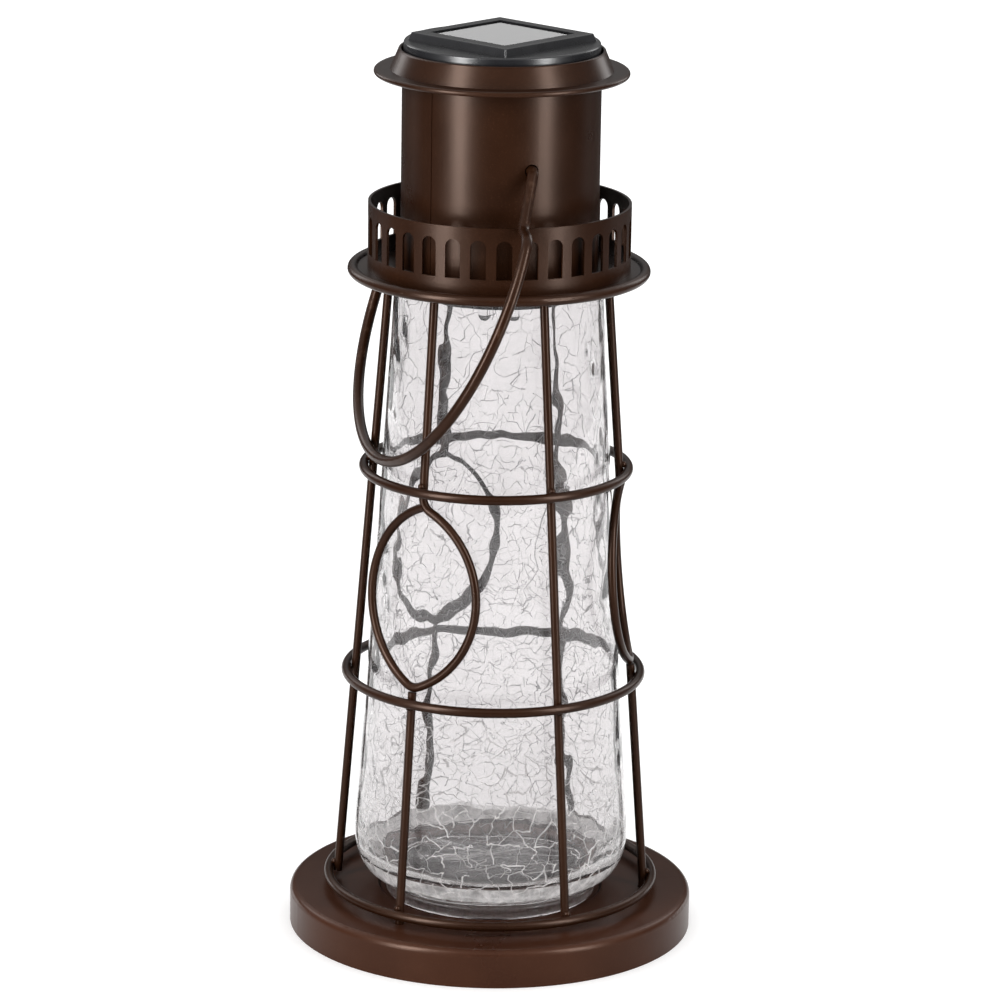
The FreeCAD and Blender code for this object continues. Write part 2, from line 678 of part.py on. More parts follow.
def cell_lead_rods(gap=0.0):
    """Two straight leads from the main board up to the cell."""
    bottom = CIRCUIT_BOARD_BOTTOM + CIRCUIT_BOARD_SIZE[1]
    top = RECESS_FLOOR + CELL_BOARD_THICKNESS
    places = (-CELL_LEAD_SPACING / 2, CELL_LEAD_SPACING / 2)
    return [pillar(x, CIRCUIT_BOARD_OFFSET, bottom, top, CELL_LEAD_RADIUS + gap) for x in places]


def solar_cell():
    bottom = RECESS_FLOOR + CELL_BOARD_THICKNESS
    return square_block(CELL_SIDE, bottom, bottom + CELL_THICKNESS)


def cell_window():
    """Clear resin sheet poured over the cell."""
    side = RECESS_SIDE - 2 * PANEL_CLEARANCE
    bottom = RECESS_FLOOR + CELL_BOARD_THICKNESS
    sheet = square_block(side, bottom, WINDOW_PANE_TOP)
    return sheet.cut(square_block(CELL_SIDE, bottom - RUN_OUT, bottom + CELL_THICKNESS))


def can_top():
    return SKIRT_BOTTOM - GASKET_THICKNESS


def cap_gasket():
    ring = tube_ring(GASKET_INNER_RADIUS, GASKET_OUTER_RADIUS, can_top(), SKIRT_BOTTOM)
    return ring.cut([pillar(p.x, p.y, can_top() - RUN_OUT, SKIRT_BOTTOM + RUN_OUT, SCREW_HOLE_RADIUS)
                     for p in screw_points(CAP_SCREW_CIRCLE)])


def module_can():
    """Straight can with a flange at its top and three bosses for the base screws."""
    inner, flange = CAN_RADIUS - CAN_WALL, can_top() - FLANGE_THICKNESS
    shell = turned([
        (inner, CAN_BOTTOM), (CAN_RADIUS, CAN_BOTTOM), (CAN_RADIUS, flange), (SKIRT_RADIUS, flange),
        (SKIRT_RADIUS, can_top()), (inner, can_top()),
    ])
    bottom = SPIGOT_TOP + FIT_GAP
    places = screw_points(BASE_SCREW_CIRCLE)
    bosses = [pillar(p.x, p.y, bottom, bottom + CAN_BOSS_HEIGHT, BASE_BOSS_RADIUS) for p in places]
    body = joined([shell] + bosses)
    outside = tube_ring(CAN_RADIUS, SKIRT_RADIUS, CAN_BOTTOM - RUN_OUT, flange)
    holes = [pillar(p.x, p.y, flange - RUN_OUT, can_top() + RUN_OUT, SCREW_HOLE_RADIUS)
             for p in screw_points(CAP_SCREW_CIRCLE)]
    pilots = [pillar(p.x, p.y, bottom - RUN_OUT, bottom + PILOT_DEPTH, PILOT_RADIUS) for p in places]
    return body.cut([outside] + holes + pilots)


def module_base():
    """Closing disc with a spigot, a boss for the LEDs, a slot for the switch and sunk screw holes."""
    spigot = CAN_RADIUS - CAN_WALL - FIT_GAP
    bottom, disc_top, chamfer = UNIT_BASE_BOTTOM, CAN_BOTTOM, UNIT_BASE_CHAMFER
    body = turned([
        (0, LED_BOSS_BOTTOM), (LED_BOSS_RADIUS - chamfer, LED_BOSS_BOTTOM),
        (LED_BOSS_RADIUS, LED_BOSS_BOTTOM + chamfer), (LED_BOSS_RADIUS, bottom),
        (CAN_RADIUS - chamfer, bottom), (CAN_RADIUS, bottom + chamfer), (CAN_RADIUS, disc_top),
        (spigot, disc_top), (spigot, SPIGOT_TOP), (spigot - SPIGOT_WALL, SPIGOT_TOP),
        (spigot - SPIGOT_WALL, disc_top), (0, disc_top),
    ])
    places = screw_points(BASE_SCREW_CIRCLE)
    posts = [pillar(p.x, p.y, disc_top - EMBED, SPIGOT_TOP, BASE_BOSS_RADIUS) for p in places]
    body = joined([body] + posts).cut(tube_ring(spigot, CAN_RADIUS, disc_top, SPIGOT_TOP + RUN_OUT))
    tools = [switch_channel(bottom - RUN_OUT, disc_top + RUN_OUT)]
    for x in led_offsets():
        tools.append(pillar(x, 0, LED_BOSS_BOTTOM - RUN_OUT, LED_FLANGE_BOTTOM, LED_RADIUS + FIT_GAP / 2))
        tools.append(pillar(x, 0, LED_FLANGE_BOTTOM, disc_top + RUN_OUT, LED_FLANGE_RADIUS + FIT_GAP))
    for p in places:
        head_top = bottom + SCREW_HEAD_HEIGHT
        tools.append(pillar(p.x, p.y, bottom - RUN_OUT, head_top, SCREW_HEAD_RADIUS + FIT_GAP))
        tools.append(pillar(p.x, p.y, bottom, SPIGOT_TOP + RUN_OUT, SCREW_HOLE_RADIUS))
    return body.cut(tools)


def screws(circle, head_bottom, length):
    """Pan-head screws that point up, as separate solids."""
    solids = []
    head_top = head_bottom + SCREW_HEAD_HEIGHT
    arm, half_slot, depth = SCREW_CROSS
    for p in screw_points(circle):
        head = pillar(p.x, p.y, head_bottom, head_top, SCREW_HEAD_RADIUS)
        rim = [edge for edge in head.Edges if edge.BoundBox.ZMax < head_top - EMBED]
        head = head.makeFillet(SCREW_HEAD_EDGE, rim)
        shank = pillar(p.x, p.y, head_top - EMBED, head_top + length, SCREW_SHANK_RADIUS)
        slots = [block((p.x - a, p.x + a), (p.y - b, p.y + b), (head_bottom - RUN_OUT, head_bottom + depth))
                 for a, b in ((arm, half_slot), (half_slot, arm))]
        solids.append(joined([head, shank]).cut(slots))
    return Part.makeCompound(solids)


def cap_screws():
    return screws(CAP_SCREW_CIRCLE, can_top() - FLANGE_THICKNESS - SCREW_HEAD_HEIGHT, CAP_SCREW_LENGTH)


def base_screws():
    return screws(BASE_SCREW_CIRCLE, UNIT_BASE_BOTTOM, BASE_SCREW_LENGTH)


def led_offsets():
    return [-LED_SPACING / 2, LED_SPACING / 2]


def leds():
    """Two clear 5 mm LEDs with domed tips that point down."""
    solids = []
    flange_top = LED_FLANGE_BOTTOM + LED_FLANGE_HEIGHT
    for x in led_offsets():
        body = pillar(x, 0, LED_TIP + LED_RADIUS, flange_top, LED_RADIUS)
        dome = Part.makeSphere(LED_RADIUS, Vector(x, 0, LED_TIP + LED_RADIUS))
        flange = pillar(x, 0, LED_FLANGE_BOTTOM, flange_top, LED_FLANGE_RADIUS)
        solids.append(joined([body, dome, flange]))
    return Part.makeCompound(solids)


def led_leads():
    bottom = LED_FLANGE_BOTTOM + LED_FLANGE_HEIGHT
    places = [x + side * LED_LEAD_PITCH / 2 for x in led_offsets() for side in (-1, 1)]
    return Part.makeCompound([pillar(x, 0, bottom, LED_BOARD_BOTTOM, LED_LEAD_RADIUS) for x in places])


def led_board():
    """Small board over the LEDs that carries their leads back to the main board."""
    half_width = LED_BOARD_WIDTH / 2
    return block((-half_width, half_width), (CIRCUIT_BOARD_OFFSET - LED_BOARD_LAP, LED_BOARD_FRONT),
                 (LED_BOARD_BOTTOM, LED_BOARD_BOTTOM + BOARD_THICKNESS))


def led_wires():
    bottom = LED_BOARD_BOTTOM + BOARD_THICKNESS
    places = (-LED_WIRE_SPACING / 2, LED_WIRE_SPACING / 2)
    return Part.makeCompound([pillar(x, CIRCUIT_BOARD_OFFSET, bottom, CIRCUIT_BOARD_BOTTOM, LED_WIRE_RADIUS)
                              for x in places])


def circuit_board():
    width, height = CIRCUIT_BOARD_SIZE
    face, low = board_face(), CIRCUIT_BOARD_BOTTOM
    return block((-width / 2, width / 2), (face, face + BOARD_THICKNESS), (low, low + height))


def board_face():
    """Position of the face of the main board that carries its parts, away from the battery."""
    return CIRCUIT_BOARD_OFFSET - BOARD_THICKNESS / 2


def board_parts():
    """Charge controller and diode, and a coil and two capacitors that are round cans."""
    face = board_face()
    flat_parts = []
    for sides, thickness, levels in (CHIP, DIODE):
        bottom, top = (CIRCUIT_BOARD_BOTTOM + level for level in levels)
        flat_parts.append(block(sides, (face - thickness, face), (bottom, top)))
    forward = Vector(0, -1, 0)
    cans = [Part.makeCylinder(radius, height, Vector(side, face, CIRCUIT_BOARD_BOTTOM + level), forward)
            for side, level, radius, height in CANS]
    return Part.makeCompound(flat_parts + cans)


def cell_leads():
    return Part.makeCompound(cell_lead_rods())


def battery():
    """AA cell, its positive cap upwards."""
    top = BATTERY_BOTTOM + BATTERY_LENGTH
    shoulder = top - BATTERY_CAP_HEIGHT
    body = pillar(0, BATTERY_OFFSET, BATTERY_BOTTOM, shoulder, BATTERY_RADIUS)
    rims = [edge for edge in body.Edges if edge.BoundBox.ZLength < EMBED]
    cap = pillar(0, BATTERY_OFFSET, shoulder - EMBED, top, BATTERY_CAP_RADIUS)
    return joined([body.makeFillet(BATTERY_EDGE, rims), cap])


def battery_cradle():
    """Trough that holds the battery, on a round foot that stands on the spigot of the base."""
    bore_radius = BATTERY_RADIUS + CRADLE_GAP
    half_width = bore_radius + CRADLE_WALL
    back = BATTERY_OFFSET + half_width
    front = BATTERY_OFFSET - half_width / 3
    foot_top = CRADLE_BOTTOM + CRADLE_FOOT
    inside = (foot_top + CRADLE_WALL / 2, CRADLE_TOP - CRADLE_WALL)
    foot = pillar(0, 0, CRADLE_BOTTOM, foot_top, CAN_RADIUS - CAN_WALL - 2 * FIT_GAP)
    trough = block((-half_width, half_width), (front, back), (foot_top - EMBED, CRADLE_TOP))
    bore = pillar(0, BATTERY_OFFSET, *inside, bore_radius)
    mouth = block((-bore_radius, bore_radius), (front - RUN_OUT, BATTERY_OFFSET), inside)
    below = CRADLE_BOTTOM - RUN_OUT
    wire_reach = LED_WIRE_SPACING / 2 + 2 * RUN_OUT
    wire_notch = block((-wire_reach, wire_reach), (-CAN_RADIUS, CIRCUIT_BOARD_OFFSET + 2 * RUN_OUT),
                       (below, foot_top + RUN_OUT))
    boss_notches = [pillar(p.x, p.y, below, foot_top + FIT_GAP, BASE_BOSS_RADIUS + EMBED)
                    for p in screw_points(BASE_SCREW_CIRCLE)]
    return joined([foot, trough]).cut([bore, mouth, wire_notch] + boss_notches)


def battery_contacts():
    """Sheet plates with a dimple that touch the two ends of the battery."""
    floor = CRADLE_BOTTOM + CRADLE_FOOT + CRADLE_WALL / 2
    ceiling = CRADLE_TOP - CRADLE_WALL

    def plate(bottom, dimple):
        sheet = block((-CONTACT_WIDTH / 2, CONTACT_WIDTH / 2),
                      (BATTERY_OFFSET - CONTACT_BACK, BATTERY_OFFSET + CONTACT_FRONT),
                      (bottom, bottom + CONTACT_SHEET))
        return joined([sheet, pillar(0, BATTERY_OFFSET, *dimple, CONTACT_DIMPLE_RADIUS)])

    negative = plate(floor, (floor, BATTERY_BOTTOM))
    positive = plate(ceiling - CONTACT_SHEET, (BATTERY_BOTTOM + BATTERY_LENGTH, ceiling))
    return Part.makeCompound([negative, positive])


def switch_channel(bottom, top):
    """Space in which the knob of the slide switch moves."""
    half_x, half_y = [size / 2 + SWITCH_GAP for size in KNOB_SIZE]
    along, across = (-half_x, half_x + SWITCH_TRAVEL), (SWITCH_OFFSET - half_y, SWITCH_OFFSET + half_y)
    return block(along, across, (bottom, top))


def switch_body():
    """Case of the slide switch, with a channel for its knob."""
    width, depth, height = SWITCH_CASE
    left, front = SWITCH_TRAVEL / 2 - width / 2, SWITCH_OFFSET - depth / 2
    case = block((left, left + width), (front, front + depth), (CAN_BOTTOM, CAN_BOTTOM + height))
    return case.cut(switch_channel(CAN_BOTTOM - RUN_OUT, KNOB_TOP + SWITCH_GAP))


def switch_knob():
    """Knob of the slide switch, in its off position, with three grooves for a fingertip."""
    half_x, half_y = [size / 2 for size in KNOB_SIZE]
    near, far = SWITCH_OFFSET - half_y, SWITCH_OFFSET + half_y
    half_groove = KNOB_GROOVE / 2
    grooves = [block((x - half_groove, x + half_groove), (near - RUN_OUT, far + RUN_OUT),
                     (KNOB_BOTTOM - RUN_OUT, KNOB_BOTTOM + KNOB_GROOVE)) for x in (-1.0, 0.0, 1.0)]
    return block((-half_x, half_x), (near, far), (KNOB_BOTTOM, KNOB_TOP)).cut(grooves)


# ------------------------------------------------------------------------------------- write

lantern = {
    "base_pan": base_pan(), "foot_washers": foot_washers(), "foot_nuts": foot_nuts(),
    "glass_jar": glass_jar(), "gallery_plate": gallery_plate(), "gallery_railing": gallery_railing(),
    "lamp_housing": lamp_housing(), "roof_ring": roof_ring(), "handle": handle(),
    "weld_beads": weld_beads(),
}
for name, height in RING_HEIGHTS.items():
    lantern[name] = cage_ring(height)
for number, azimuth in enumerate(WINDOW_AZIMUTHS, 1):
    lantern["window_upright_" + str(number)] = window_upright(azimuth)
    lantern["lower_upright_" + str(number)] = lower_upright(azimuth)
for number in range(len(PLAIN_AZIMUTHS)):
    lantern["plain_upright_" + str(number + 1)] = plain_upright(number)

solar_unit = {
    "solar_cap": solar_cap(), "cell_board": cell_board(), "solar_cell": solar_cell(),
    "cell_window": cell_window(), "cap_gasket": cap_gasket(), "cap_screws": cap_screws(),
    "module_can": module_can(), "module_base": module_base(), "base_screws": base_screws(), "leds": leds(),
    "led_leads": led_leads(), "led_board": led_board(), "led_wires": led_wires(),
    "circuit_board": circuit_board(), "board_parts": board_parts(), "cell_leads": cell_leads(),
    "battery": battery(), "battery_cradle": battery_cradle(), "battery_contacts": battery_contacts(),
    "switch_body": switch_body(), "switch_knob": switch_knob(),
}

for node, shape in lantern.items():
    save(node, shape)
for node, shape in solar_unit.items():
    save(node, in_unit(shape))
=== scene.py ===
import json
import math
import random

import bpy
from mathutils import Matrix, Vector, noise


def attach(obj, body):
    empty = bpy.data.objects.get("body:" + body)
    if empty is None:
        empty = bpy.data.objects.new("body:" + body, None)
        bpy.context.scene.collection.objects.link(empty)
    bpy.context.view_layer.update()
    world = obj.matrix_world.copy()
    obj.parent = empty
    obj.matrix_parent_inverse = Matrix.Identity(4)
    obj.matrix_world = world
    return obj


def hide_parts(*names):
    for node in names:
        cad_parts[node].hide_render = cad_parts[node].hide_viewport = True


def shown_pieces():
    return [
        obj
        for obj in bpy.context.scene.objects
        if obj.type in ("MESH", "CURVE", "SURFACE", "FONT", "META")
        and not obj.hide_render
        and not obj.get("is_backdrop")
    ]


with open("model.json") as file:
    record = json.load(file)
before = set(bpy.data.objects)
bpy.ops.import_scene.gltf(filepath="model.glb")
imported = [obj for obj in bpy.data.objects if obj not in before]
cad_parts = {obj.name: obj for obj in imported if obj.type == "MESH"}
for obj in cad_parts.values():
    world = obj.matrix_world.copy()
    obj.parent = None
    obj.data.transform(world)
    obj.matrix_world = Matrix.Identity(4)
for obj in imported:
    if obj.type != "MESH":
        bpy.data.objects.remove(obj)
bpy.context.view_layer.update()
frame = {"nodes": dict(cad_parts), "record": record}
nodes = frame["nodes"]
scene = bpy.context.scene
MM = 0.001


# ------------------------------------------------------------------ node helpers

def new_material(name, **inputs):
    """Principled material. Each input is set on the shader's own socket."""
    material = bpy.data.materials.new(name)
    material.use_nodes = True
    shader = material.node_tree.nodes["Principled BSDF"]
    for key, value in inputs.items():
        shader.inputs[key.replace("_", " ")].default_value = value
    return material, material.node_tree, shader


def add(tree, kind, **settings):
    """A shader node. Settings are its properties, or input values by the input's name."""
    node = tree.nodes.new("ShaderNode" + kind)
    for key, value in settings.items():
        if hasattr(node, key):
            setattr(node, key, value)
        else:
            node.inputs[key.replace("_", " ")].default_value = value
    return node


def object_position(tree, stretch=(1, 1, 1)):
    """Place on the object, in metres, stretched along its axes."""
    coordinates = add(tree, "TexCoord")
    mapping = add(tree, "Mapping")
    mapping.inputs["Scale"].default_value = stretch
    tree.links.new(coordinates.outputs["Object"], mapping.inputs["Vector"])
    return mapping.outputs["Vector"]


def noise_value(tree, vector, scale, detail=3.0, roughness=0.5):
    texture = add(tree, "TexNoise", Scale=scale, Detail=detail, Roughness=roughness)
    tree.links.new(vector, texture.inputs["Vector"])
    return texture.outputs["Fac"]


def ramp(tree, value, stops):
    """Colour ramp. Each stop is a position and a colour."""
    node = add(tree, "ValToRGB")
    elements = node.color_ramp.elements
    while len(elements) < len(stops):
        elements.new(0.5)
    for element, (position, colour) in zip(elements, stops):
        element.position = position
        element.color = (*colour, 1.0)
    tree.links.new(value, node.inputs["Fac"])
    return node.outputs["Color"]


def grey(level):
    return (level, level, level)


def mixed(tree, factor, first, second, mode="MIX"):
    """Mix of two colours. Each of the three may be a value or another node's output."""
    node = add(tree, "Mix", data_type="RGBA", blend_type=mode)
    for socket, value in ((node.inputs[0], factor), (node.inputs[6], first), (node.inputs[7], second)):
        if isinstance(value, (int, float)):
            socket.default_value = value
        elif isinstance(value, tuple):
            socket.default_value = (*value, 1.0)
        else:
            tree.links.new(value, socket)
    return node.outputs[2]


def bump(tree, shader, height, strength, distance):
    node = add(tree, "Bump", Strength=strength, Distance=distance)
    tree.links.new(height, node.inputs["Height"])
    tree.links.new(node.outputs["Normal"], shader.inputs["Normal"])


# ------------------------------------------------------------------ materials

def bronze_paint(name, wear=0.0, low=(0.0050, 0.0016, 0.0006), high=(0.0082, 0.0028, 0.0011)):
    """Dark brown satin bronze paint: soft clouding, a faint fleck and a slight orange-peel surface."""
    material, tree, shader = new_material(name, Specular_IOR_Level=0.13)
    shader.inputs["Specular Tint"].default_value = (1.0, 0.72, 0.59, 1.0)
    place = object_position(tree)
    clouds = noise_value(tree, place, 30.0, 4.0)
    fleck = noise_value(tree, place, 2600.0, 2.0)
    base = ramp(tree, clouds, [(0.30, low), (0.70, high)])
    sparkle = ramp(tree, fleck, [(0.60, grey(0.0)), (0.76, (0.020, 0.010, 0.006))])
    colour = mixed(tree, 0.5, base, sparkle, "ADD")
    if wear:
        scuffs = noise_value(tree, place, 210.0, 5.0, 0.7)
        rubbed = ramp(tree, scuffs, [(0.56, grey(0.0)), (0.68, grey(wear))])
        colour = mixed(tree, rubbed, colour, (0.030, 0.016, 0.010))
    tree.links.new(colour, shader.inputs["Base Color"])
    rough = ramp(tree, clouds, [(0.25, grey(0.26)), (0.75, grey(0.33))])
    tree.links.new(rough, shader.inputs["Roughness"])
    peel = noise_value(tree, place, 700.0, 2.0)
    bump(tree, shader, peel, 0.05, 0.0002)
    return material


def moulded_plastic(name, colour, roughness, grain_scale=2400.0, grain=0.12, gloss=0.5):
    """Moulded plastic with a fine spark-eroded grain."""
    material, tree, shader = new_material(name, Specular_IOR_Level=gloss)
    place = object_position(tree)
    mottle = noise_value(tree, place, 60.0, 4.0)
    low = tuple(channel * 0.82 for channel in colour)
    high = tuple(channel * 1.18 for channel in colour)
    tree.links.new(ramp(tree, mottle, [(0.3, low), (0.7, high)]), shader.inputs["Base Color"])
    rough = ramp(tree, mottle, [(0.3, grey(roughness - 0.04)), (0.7, grey(roughness + 0.05))])
    tree.links.new(rough, shader.inputs["Roughness"])
    bump(tree, shader, noise_value(tree, place, grain_scale, 2.0), grain, 0.0002)
    return material


def plated_metal(name, colour, roughness):
    """Bright plated metal with faint drawing marks."""
    material, tree, shader = new_material(name, Metallic=1.0)
    place = object_position(tree, (1, 1, 12))
    marks = noise_value(tree, place, 420.0, 4.0)
    low = tuple(channel * 0.78 for channel in colour)
    tree.links.new(ramp(tree, marks, [(0.3, low), (0.7, colour)]), shader.inputs["Base Color"])
    rough = ramp(tree, marks, [(0.3, grey(roughness)), (0.7, grey(roughness + 0.14))])
    tree.links.new(rough, shader.inputs["Roughness"])
    bump(tree, shader, marks, 0.06, 0.0002)
    return material


def clear_resin():
    """Clear moulded resin with faint smears."""
    material, tree, shader = new_material("clear_resin", Transmission_Weight=1.0, IOR=1.49)
    place = object_position(tree)
    smear = noise_value(tree, place, 45.0)
    tint = ramp(tree, smear, [(0.3, (0.985, 0.992, 0.990)), (0.7, grey(1.0))])
    tree.links.new(tint, shader.inputs["Base Color"])
    tree.links.new(ramp(tree, smear, [(0.45, grey(0.0)), (0.8, grey(0.03))]), shader.inputs["Roughness"])
    return material


def crackle_glass():
    """Blown glass, faintly milky. The cracks inside it are pieces of their own."""
    material, tree, shader = new_material("crackle_glass", Transmission_Weight=0.965, IOR=1.46, Roughness=0.0)
    place = object_position(tree)
    smear = noise_value(tree, place, 45.0)
    tint = ramp(tree, smear, [(0.3, (0.805, 0.788, 0.792)), (0.7, (0.850, 0.834, 0.838))])
    tree.links.new(tint, shader.inputs["Base Color"])
    return material


def crack_faces(name, dark, light, cover, glow=0.0):
    """Inner faces of the cracks, which catch the light as pale, broken films. Cover is how opaque they are,
    at least and at most. Glow stands for light that runs inside the glass and leaves it at the crack."""
    material, tree, shader = new_material(name, Roughness=0.35, Specular_IOR_Level=0.4,
                                          Emission_Strength=glow)
    shader.inputs["Emission Color"].default_value = (1.0, 0.98, 0.97, 1.0)
    place = object_position(tree)
    patchy = noise_value(tree, place, 230.0, 3.0, 0.6)
    tree.links.new(ramp(tree, patchy, [(0.3, dark), (0.7, light)]), shader.inputs["Base Color"])
    low, high = cover
    tree.links.new(ramp(tree, patchy, [(0.35, grey(low)), (0.62, grey(high))]), shader.inputs["Alpha"])
    return material


def silicon_cell():
    """Grey-blue silicon with a fine crystal pattern, under a gloss coat."""
    material, tree, shader = new_material("silicon_cell", Metallic=0.5, Roughness=0.24, Coat_Weight=0.5,
                                          Coat_Roughness=0.08)
    place = object_position(tree)
    grain = add(tree, "TexVoronoi", Scale=260.0)
    tree.links.new(place, grain.inputs["Vector"])
    colour = ramp(tree, grain.outputs["Distance"], [(0.0, (0.20, 0.21, 0.24)), (1.0, (0.34, 0.35, 0.38))])
    tree.links.new(colour, shader.inputs["Base Color"])
    return material


def painted_board(name, colour):
    """Circuit board with its weave just showing through the paint."""
    material, tree, shader = new_material(name, Roughness=0.32)
    place = object_position(tree)
    weave = add(tree, "TexChecker", Scale=1600.0)
    tree.links.new(place, weave.inputs["Vector"])
    low = tuple(channel * 0.75 for channel in colour)
    tree.links.new(mixed(tree, weave.outputs["Fac"], colour, low), shader.inputs["Base Color"])
    bump(tree, shader, weave.outputs["Fac"], 0.08, 0.0001)
    return material


def studio_floor():
    """Pale, almost even floor with a little light of its own."""
    material, tree, shader = new_material("studio_floor", Roughness=0.9, Specular_IOR_Level=0.1,
                                          Emission_Strength=0.22)
    shader.inputs["Emission Color"].default_value = (1.0, 1.0, 1.0, 1.0)
    place = object_position(tree)
    tone = ramp(tree, noise_value(tree, place, 2.5), [(0.3, grey(0.91)), (0.7, grey(0.93))])
    tree.links.new(tone, shader.inputs["Base Color"])
    return material


MATERIALS = {
    "bronze_paint": bronze_paint("bronze_paint"),
    "handle_paint": bronze_paint("handle_paint", 0.5),
    "fastener_steel": plated_metal("fastener_steel", (0.58, 0.58, 0.60), 0.26),
    "crackle_glass": crackle_glass(),
    "black_plastic": moulded_plastic("black_plastic", (0.0042, 0.0042, 0.0048), 0.27, gloss=0.32),
    "board": painted_board("board", (0.012, 0.014, 0.013)),
    "cell": silicon_cell(),
    "clear_resin": clear_resin(),
    "gasket_rubber": moulded_plastic("gasket_rubber", (0.02, 0.02, 0.02), 0.7, 1500.0, 0.2),
    "contact_metal": plated_metal("contact_metal", (0.72, 0.69, 0.62), 0.2),
    "wire_cover": moulded_plastic("wire_cover", (0.42, 0.03, 0.025), 0.42),
    "components": moulded_plastic("components", (0.03, 0.03, 0.033), 0.3),
    "battery_jacket": moulded_plastic("battery_jacket", (0.05, 0.22, 0.10), 0.22),
    "switch_plastic": moulded_plastic("switch_plastic", (0.05, 0.05, 0.055), 0.4),
}

# The base pan's paint is the same bronze; this copy is made a little redder and lighter as painted light, for
# the light the pan catches from the pale floor round it
painted_light_base_paint = bronze_paint("painted_light_base_paint", 0.0, (0.0115, 0.0038, 0.0019), (0.0165, 0.0058, 0.0029))
for row in frame["record"]["subparts"]:
    mesh = nodes[row["node"]].data
    mesh.materials.clear()
    mesh.materials.append(painted_light_base_paint if row["node"] == "base_pan" else MATERIALS[row["material_slot"]])


# ------------------------------------------------------------------ pieces

def finish_piece(name, vertices, faces, slot, body, smooth=True, material=None):
    """Piece in the row frame, riding on a body."""
    mesh = bpy.data.meshes.new(name)
    mesh.from_pydata(vertices, [], faces)
    mesh.update()
    if smooth:
        mesh.polygons.foreach_set("use_smooth", [True] * len(mesh.polygons))
    piece = bpy.data.objects.new(name, mesh)
    scene.collection.objects.link(piece)
    mesh.materials.append(MATERIALS[slot] if material is None else material)
    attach(piece, body)
    return piece


def skin(rings):
    """Faces from each ring of corners to the next. A ring of one corner closes the skin."""
    faces = []
    for low, high in zip(rings, rings[1:]):
        columns = max(len(low), len(high))
        for k in range(columns):
            after = (k + 1) % columns
            if len(low) == 1:
                faces.append((low[0], high[after], high[k]))
            elif len(high) == 1:
                faces.append((low[k], low[after], high[0]))
            else:
                faces.append((low[k], low[after], high[after], high[k]))
    return faces


def strip(first, corners):
    """Faces of a narrow film whose corners are numbered in pairs, from the first one on."""
    return [(a, a + 2, a + 3, a + 1) for a in range(first, first + corners - 2, 2)]


def polar(radius, azimuth, height):
    """Point in metres, from a radius and height in millimetres and an azimuth in degrees from -Y."""
    angle = math.radians(azimuth)
    return Vector((radius * math.sin(angle), -radius * math.cos(angle), height)) * MM


# Glass: the jar's outline as radius and height in millimetres, outside, inside and round the foot
GLASS_OUTSIDE = [(41.2, 18.9), (44.6, 20.6), (47.6, 23.6), (49.9, 28.2), (50.9, 34.0), (50.8, 41.0),
                 (49.8, 54.0), (47.6, 86.0), (45.2, 125.0), (37.7, 248.6)]
GLASS_INSIDE = [(34.0, 24.5), (41.5, 26.2), (46.2, 31.0), (47.9, 37.5), (48.0, 43.0), (47.1, 55.0),
                (45.0, 86.0), (42.6, 125.0), (35.1, 248.6)]
GLASS_FOOT = [(0.0, 17.1), (34.8, 17.1), (35.8, 13.3), (39.3, 13.3), (39.3, 17.8)]
OUTLINE_SPACING = 1.6
FOOT_SPACING = 2.5
FLOOR_RINGS = 12
JAR_COLUMNS = 288
RING_COLUMNS = 180

# Waves of the blown glass: length and depth in millimetres. They are read on a cylinder as wide as the jar
WIDE_WAVE = (24.0, 0.75)
FINE_WAVE = (8.0, 0.24)
RIPPLE = (6.0, 0.25)
WAVE_RADIUS = 50
# Share of the waves on each surface. Where the share is negative, they only go inward
OUTSIDE_SHARE = -0.12
INSIDE_SHARE = 0.8
NECK_SHARE = 0.1
FLOOR_SHARE = 0.9
NECK_BOTTOM = 244


def smooth_line(points, spacing):
    """Points along a Catmull-Rom curve through the given ones, about evenly spaced."""
    padded = [points[0]] + points + [points[-1]]
    result = []
    for before, start, end, after in zip(padded, padded[1:], padded[2:], padded[3:]):
        length = math.dist(start, end)
        steps = max(1, round(length / spacing))
        slopes = []
        for low, middle, high in ((before, start, end), (start, end, after)):
            gaps = [max(math.dist(low, middle), 1e-6), max(math.dist(middle, high), 1e-6)]
            if low == middle or middle == high:
                slopes.append(tuple((high[i] - low[i]) / max(math.dist(low, high), 1e-6) for i in (0, 1)))
            else:
                slopes.append(tuple((high[i] - low[i]) / sum(gaps) for i in (0, 1)))
        for step in range(steps):
            t = step / steps
            h = (2 * t**3 - 3 * t**2 + 1, t**3 - 2 * t**2 + t, -2 * t**3 + 3 * t**2, t**3 - t**2)
            result.append(tuple(h[0] * start[i] + h[1] * length * slopes[0][i] + h[2] * end[i]
                                + h[3] * length * slopes[1][i] for i in (0, 1)))
    return result + [points[-1]]


def radius_at(profile, height):
    """Radius of a profile at a height, between its points."""
    for (r0, z0), (r1, z1) in zip(profile, profile[1:]):
        if z0 <= height <= z1:
            return r0 + (r1 - r0) * (height - z0) / (z1 - z0)
    return profile[-1][0] if height > profile[-1][1] else profile[0][0]


OUTSIDE = smooth_line(GLASS_OUTSIDE, OUTLINE_SPACING)
INSIDE = smooth_line(GLASS_INSIDE, OUTLINE_SPACING)


def wave(azimuth, height, size, shift=(0, 0, 0)):
    """Height of a wave at a place on the wall, in millimetres."""
    length, depth = size
    spot = polar(WAVE_RADIUS, azimuth, height) * 1000
    return noise.noise(spot / length + Vector(shift)) * depth


def blown_waviness(azimuth, height, share):
    """How far the glass stands in from its plain shape, in millimetres."""
    return share * (wave(azimuth, height, WIDE_WAVE) + wave(azimuth, height, FINE_WAVE, (9, 4, 7)))


